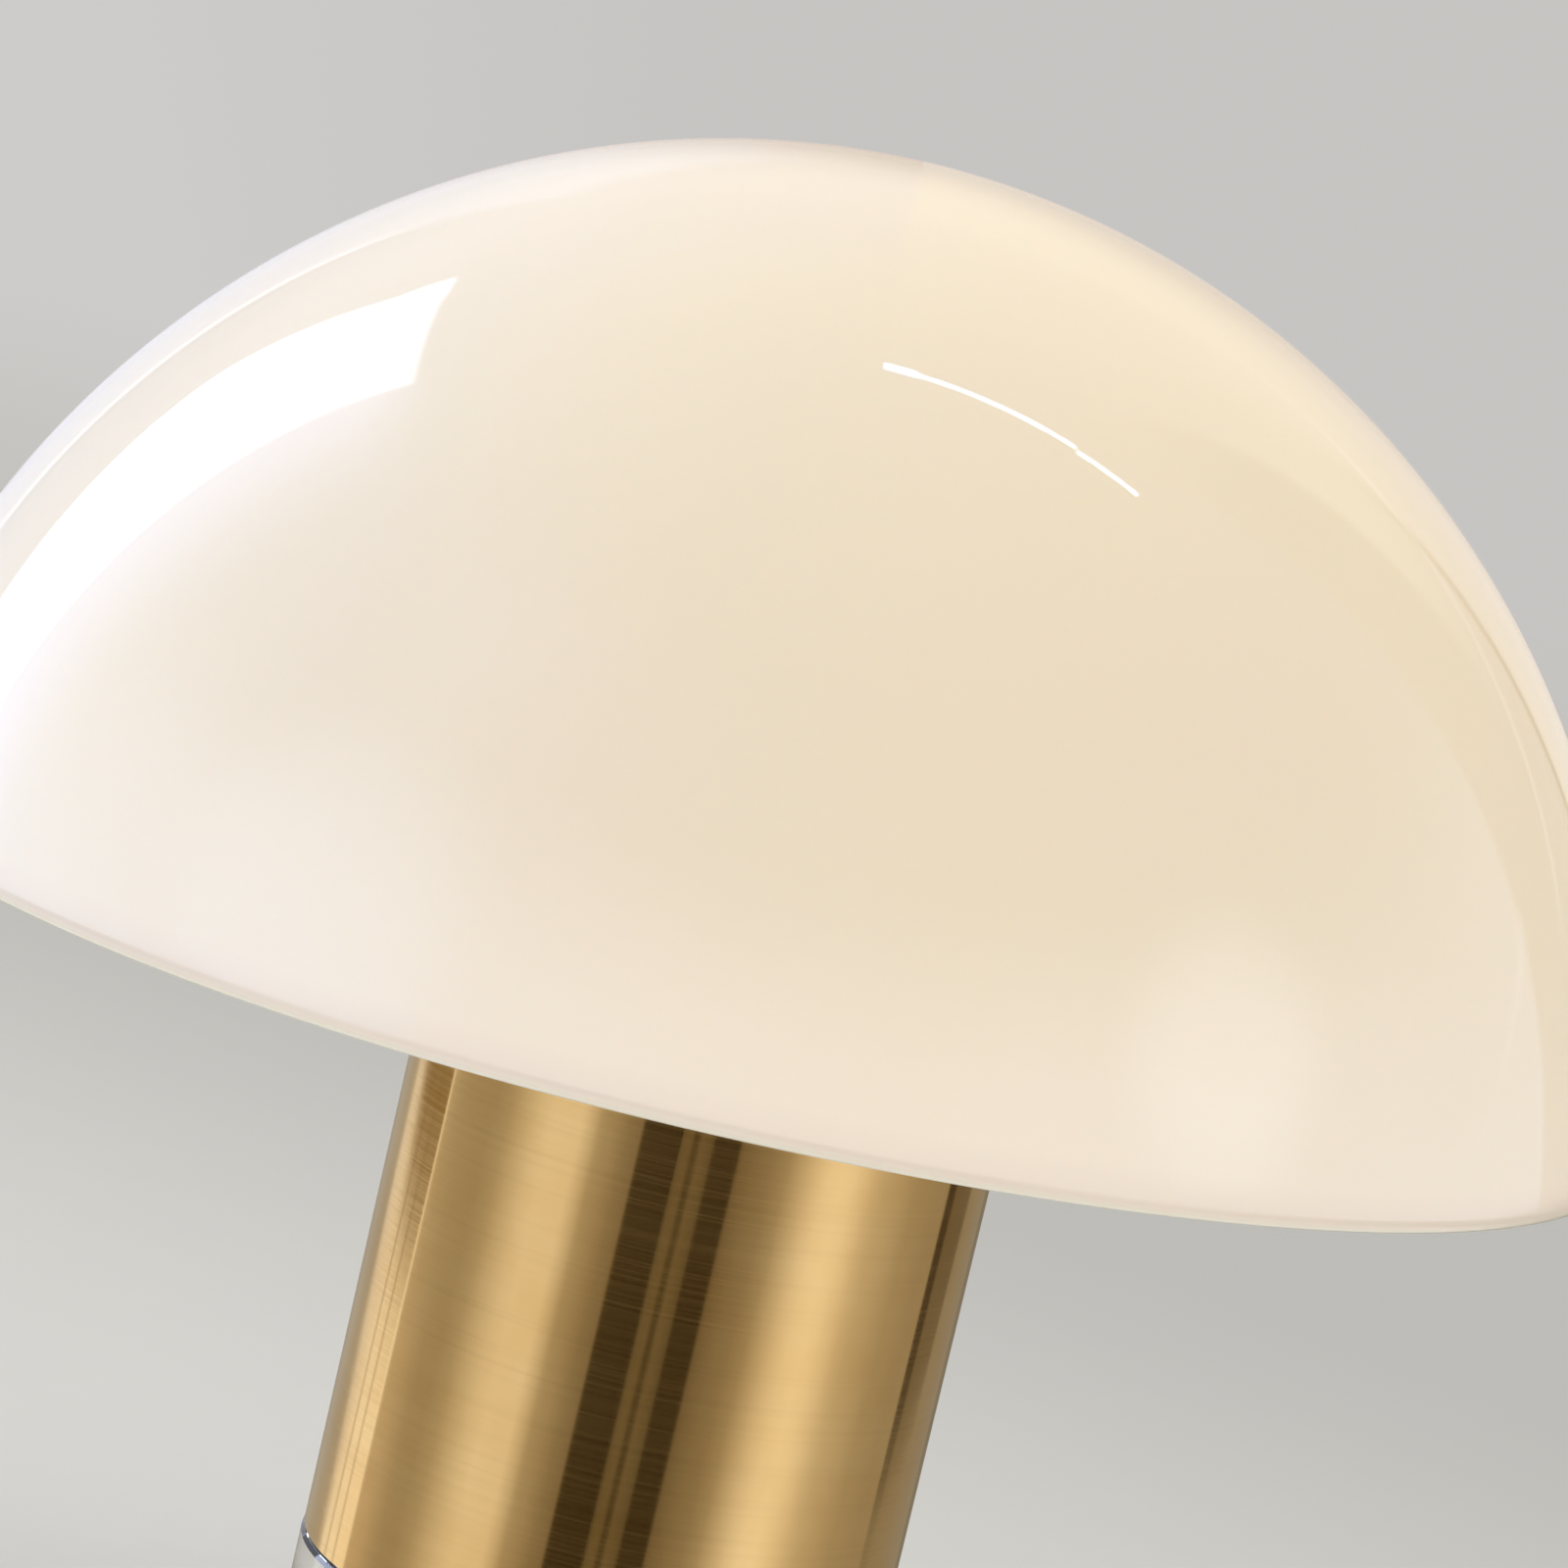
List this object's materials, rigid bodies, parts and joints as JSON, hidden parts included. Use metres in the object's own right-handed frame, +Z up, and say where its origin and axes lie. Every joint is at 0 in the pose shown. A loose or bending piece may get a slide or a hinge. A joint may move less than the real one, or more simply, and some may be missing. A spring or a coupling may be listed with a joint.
{
  "type": "mushroom table lamp",
  "caption": "Table lamp with a lift-off opal glass dome shade on a thick round brass column and a clear crystal foot, with a screw-in bulb.",
  "frame": {"origin": "centre of the base pad's underside, on the table", "axes": "+Z up along the lamp's axis, +Y towards the back, where the cord inlet is, +X to the right seen from the front"},
  "size_m": [0.3002, 0.3002, 0.3],
  "materials": {
    "opal_glass": "glossy",
    "brass": "brushed",
    "crystal": "polished",
    "black_rubber": "matte",
    "steel": "zinc plated",
    "fibre": "matte",
    "brass_screw": "polished",
    "white_paint": "satin",
    "silicone": "satin",
    "holder_plastic": "satin",
    "ceramic": "glazed",
    "nickel": "satin",
    "black_glass": "glossy",
    "bulb_plastic": "satin",
    "bulb_diffuser": "satin"
  },
  "bodies": {
    "stand": {"base_pad": "black_rubber", "crystal_base": "crystal", "base_bolt": "steel", "steel_washer": "steel", "fibre_washer": "fibre", "column_gasket": "black_rubber", "column_tube": "brass", "column_foot_plate": "steel", "spring_washer": "steel", "base_nut": "steel", "earth_terminal": "brass_screw", "cord_grommet": "black_rubber", "column_cap": "brass", "cap_screws": "brass_screw", "shade_spider": "white_paint", "spider_tips": "silicone", "holder_ring_lower": "holder_plastic", "holder_ring_upper": "holder_plastic", "holder_skirt": "holder_plastic", "holder_cap": "holder_plastic", "holder_core": "ceramic", "holder_screw_shell": "nickel", "holder_contact": "brass_screw", "holder_terminals": "brass_screw"},
    "shade": {"glass_shade": "opal_glass"},
    "bulb_centre": {"bulb_insulator": "black_glass", "bulb_contact": "nickel"},
    "bulb": {"bulb_screw_cap": "nickel", "bulb_collar": "bulb_plastic", "bulb_globe": "bulb_diffuser"}
  },
  "joints": [
    {"name": "shade_lift", "type": "slide", "parent": "stand", "child": "shade", "axis": [0, 0, 1], "range_m": [0, 0.13]},
    {"name": "bulb_rise", "type": "slide", "parent": "stand", "child": "bulb_centre", "axis": [0, 0, 1], "range_m": [0, 0.0182]},
    {"name": "bulb_turn", "type": "hinge", "parent": "bulb_centre", "child": "bulb", "pos_m": [0, 0, 0.2], "axis": [0, 0, 1], "range_deg": [0, 1800]}
  ],
  "couplings": [
    {"joint": "bulb_rise", "follows": "bulb_turn", "m_per_rad": 0.00057757}
  ]
}
